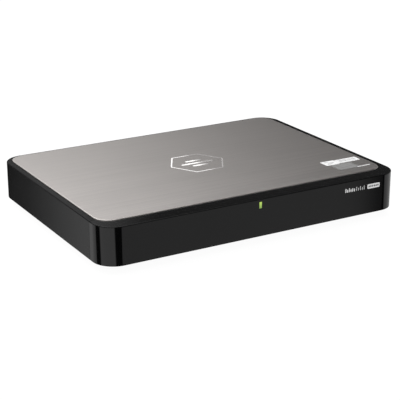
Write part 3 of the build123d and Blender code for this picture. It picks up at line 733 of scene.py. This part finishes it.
def add_lever_details(side, sign):
    """Grip ribs beside the finger hole and an arrow that points to the hinge."""
    low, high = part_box(side + "_lever")
    z = (low.z + high.z) / 2
    free = low.x if sign > 0 else high.x
    face = on_front(low.y + 0.7 * MM)
    ribs = bmesh.new()
    for rib in range(6):
        x = free + sign * (25 + 2.2 * rib) * MM
        add_prism(ribs, moved(rounded(1.0 * MM, 7 * MM, 0.45 * MM, 4), x, z), face, -0.2 * MM, 0.4 * MM)
    plastic = MATERIALS["lever_plastic"]
    finish_piece(side + "_lever_ribs", ribs, [plastic], side + "_lever_body", 0.12 * MM)
    mark = bmesh.new()
    tip = free + sign * 70 * MM
    neck = tip - sign * 4 * MM
    arrow = [(tip, z), (neck, z + 2.4 * MM), (neck, z - 2.4 * MM)]
    add_prism(mark, arrow if sign < 0 else arrow[::-1], face, -0.1 * MM, INK_LIFT)
    tail = moved(rounded(9 * MM, 1.1 * MM, 0.5 * MM), tip - sign * 8 * MM, z)
    add_prism(mark, tail, face, -0.1 * MM, INK_LIFT)
    finish_piece(side + "_lever_arrow", mark, [WHITE_INK], side + "_lever_body")


# ---------------------------------------------------------------- boards

def add_small_part(mesh, x, y, base, turned):
    """A chip capacitor or resistor: a body between two soldered ends."""
    length, width, height = 1.0 * MM, 0.9 * MM, 0.6 * MM
    plane = on_top(base)
    for slot, centre, reach in ((0, 0, length), (1, -0.65 * MM, 0.35 * MM), (1, 0.65 * MM, 0.35 * MM)):
        size = (width, reach) if turned else (reach, width)
        spot = (x, y + centre) if turned else (x + centre, y)
        top = height if slot else height * 0.94
        add_prism(mesh, moved(rounded(*size, 0.06 * MM, 1), *spot), plane, 0, top, slot)


# First X, last X and Y of each row of small parts on the main board, in mm.
SMALL_PART_ROWS = (
    (-4, 46, 63.4),
    (-4, 40, 80.2),
    (66, 77, 62.4),
    (-58, -38, 94.4),
    (66, 92, 91.8),
    (-116, -108, 96),
)
SMALL_PART_PITCH = 2.4
LEG_PITCH = 0.8 * MM
LEG_HEIGHT = 0.22 * MM
LEG_SIZE = (0.36 * MM, 1.1 * MM)


def add_small_parts(base):
    """Rows of capacitors and resistors with a few places left empty."""
    mesh = bmesh.new()
    for first, last, y in SMALL_PART_ROWS:
        for column in range(int((last - first) / SMALL_PART_PITCH)):
            if (column * 7 + int(y)) % 5:
                x = first + SMALL_PART_PITCH * column
                add_small_part(mesh, x * MM, y * MM, base, column % 2 == 0)
    finish_piece("small_parts", mesh, [CERAMIC, MATERIALS["socket_shell"]], "case")


def add_chip_legs(base):
    """Legs on all four sides of the square chips."""
    mesh = bmesh.new()
    plane = on_top(base)
    across_leg = rounded(*LEG_SIZE, 0.1 * MM, 2)
    along_leg = rounded(*LEG_SIZE[::-1], 0.1 * MM, 2)
    for low, high in solids_of("board_chips"):
        count = int((high.x - low.x) / LEG_PITCH) - 1
        for leg in range(count):
            offset = (leg - (count - 1) / 2) * LEG_PITCH
            x, y = ((low.x + high.x) / 2 + offset, (low.y + high.y) / 2 + offset)
            for edge, way in ((low, -1), (high, 1)):
                out = way * 0.45 * MM
                add_prism(mesh, moved(across_leg, x, edge.y + out), plane, 0, LEG_HEIGHT)
                add_prism(mesh, moved(along_leg, edge.x + out, y), plane, 0, LEG_HEIGHT)
    finish_piece("chip_legs", mesh, [MATERIALS["socket_shell"]], "case")


def add_chip_marks():
    """A dot in a corner of each chip and a dark half on the top of each capacitor."""
    mesh = bmesh.new()
    for low, high in solids_of("board_chips") + solids_of("memory_chips"):
        spot = (low.x + 1.3 * MM, high.y - 1.3 * MM)
        add_prism(mesh, moved(polygon(12, 0.45 * MM), *spot), on_top(high.z), -0.02 * MM, 0.03 * MM)
    turns = [pi * k / 12 for k in range(13)]
    half = [(2.9 * MM * cos(turn), 2.9 * MM * sin(turn)) for turn in turns]
    for low, high in solids_of("board_capacitors"):
        centre = ((low.x + high.x) / 2, (low.y + high.y) / 2)
        add_prism(mesh, moved(half, *centre), on_top(high.z), -0.02 * MM, 0.04 * MM, 1)
    finish_piece("chip_marks", mesh, [GREY_INK, BLACK_INK], "case")


def add_underside_label():
    """A blank rating label in the middle of the pan."""
    mesh = bmesh.new()
    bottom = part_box("base_pan")[0].z
    blank_label(mesh, (0, -12 * MM), (56 * MM, 44 * MM), under(bottom), 8)
    finish_piece("underside_label", mesh, [LABEL_FILM, WHITE_INK], "case")


# ---------------------------------------------------------------- stage

FLOOR_RADIUS = 14
FLOOR_GLOW = 0.96


def add_stage():
    """Plain pale floor and a broad overhead light, both hidden from reflections."""
    mesh = bmesh.new()
    bmesh.ops.create_circle(mesh, cap_ends=True, segments=96, radius=FLOOR_RADIUS)
    data = bpy.data.meshes.new("floor")
    mesh.to_mesh(data)
    mesh.free()
    floor = bpy.data.objects.new("floor", data)
    SCENE.collection.objects.link(floor)
    material, _, principled, _ = shader("pale_floor")
    principled.inputs["Base Color"].default_value = (0.05, 0.05, 0.05, 1)
    principled.inputs["Roughness"].default_value = 0.9
    principled.inputs["Specular IOR Level"].default_value = 0.1
    principled.inputs["Emission Color"].default_value = (1, 1, 1, 1)
    principled.inputs["Emission Strength"].default_value = FLOOR_GLOW
    data.materials.append(material)
    floor.visible_glossy = False

    lamp = bpy.data.lights.new("overhead", "SUN")
    lamp.energy = 2.0
    lamp.angle = radians(110)
    overhead = bpy.data.objects.new("overhead", lamp)
    overhead.rotation_euler = (radians(14), radians(-16), 0)
    overhead.visible_glossy = False
    SCENE.collection.objects.link(overhead)


SKY_LIGHT = 2.12
BACK_LIGHT = 0.36
GLOW_ABOVE = 0.06
GLOW_BELOW = 0.012
# Angle from, angle to, softness (degrees) and brightness of each upright strip below eye level.
STRIPS = (
    (-38.8, -14, 0.8, 0.49),
    (20, 95, 4, 0.96),
    (122, 156.9, 2.2, 0.62),
    (-170, -53.5, 3, 0.64),
)


def add_studio():
    """The studio as a world: a softbox above and behind, a low screen, and upright strips around."""
    world = bpy.data.worlds.new("studio")
    SCENE.world = world
    world.use_nodes = True
    tree = world.node_tree
    background = tree.nodes["Background"]
    axes = tree.nodes.new("ShaderNodeSeparateXYZ")
    tree.links.new(tree.nodes.new("ShaderNodeTexCoord").outputs["Generated"], axes.inputs[0])
    x, y, z = axes.outputs
    # The softbox, by the angle about X that is 0 at the back and 90 degrees overhead, and by X.
    over = math_node(tree, "ARCTAN2", z, y)
    starts = spread(tree, over, 0, 1, radians(27), radians(42), True)
    dims = spread(tree, over, 1, 0.35, radians(62), radians(122), True)
    ends = spread(tree, over, 1, 0, radians(112), radians(132), True)
    fades = spread(tree, x, 1, 0.03, 0.29, 0.595, True)
    returns = spread(tree, x, 0, 0.5, 0.70, 0.90, True)
    across = math_node(tree, "ADD", fades, returns)
    side = spread(tree, x, 0.12, 1, -0.72, -0.42, True)
    softbox = product(tree, starts, dims, ends, across, side, SKY_LIGHT)
    # A low screen behind, to the left of the line of sight.
    behind = math_node(tree, "ARCTAN2", x, y)
    raised = spread(tree, z, 0.2, 1, 0.26, 0.38, True)
    screen = product(tree, band(tree, behind, radians(-75), radians(25.5), radians(3)), raised, BACK_LIGHT)
    above = math_node(tree, "ADD", math_node(tree, "ADD", softbox, screen), GLOW_ABOVE)
    # The strips, by the angle about Z from the front towards the left.
    turn = math_node(tree, "ARCTAN2", product(tree, x, -1), product(tree, y, -1))
    around = GLOW_BELOW
    for low, high, soft, light in STRIPS:
        strip = product(tree, band(tree, turn, radians(low), radians(high), radians(soft)), light)
        around = math_node(tree, "ADD", strip, around)
    # The two halves meet just above level.
    mix = tree.nodes.new("ShaderNodeMix")
    mix.data_type = "FLOAT"
    tree.links.new(spread(tree, z, 0, 1, -0.02, 0.10, True), mix.inputs[0])
    tree.links.new(around, mix.inputs[2])
    tree.links.new(above, mix.inputs[3])
    tree.links.new(mix.outputs[0], background.inputs["Strength"])
    background.inputs["Color"].default_value = (1, 1, 1, 1)
    world.cycles.sampling_method = "NONE"


add_camera()
add_stage()
add_studio()
dress_nodes()
add_badge()
add_front_marks()
add_plate_label()
add_network_contacts()
add_socket_details()
add_power_symbol()
for side_name, sign_of_x in (("left", -1), ("right", 1)):
    add_drive_details(side_name)
    add_lever_details(side_name, sign_of_x)
board_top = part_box("mainboard")[1].z
add_small_parts(board_top)
add_chip_legs(board_top)
add_chip_marks()
add_underside_label()
SCENE.view_settings.view_transform = "Standard"
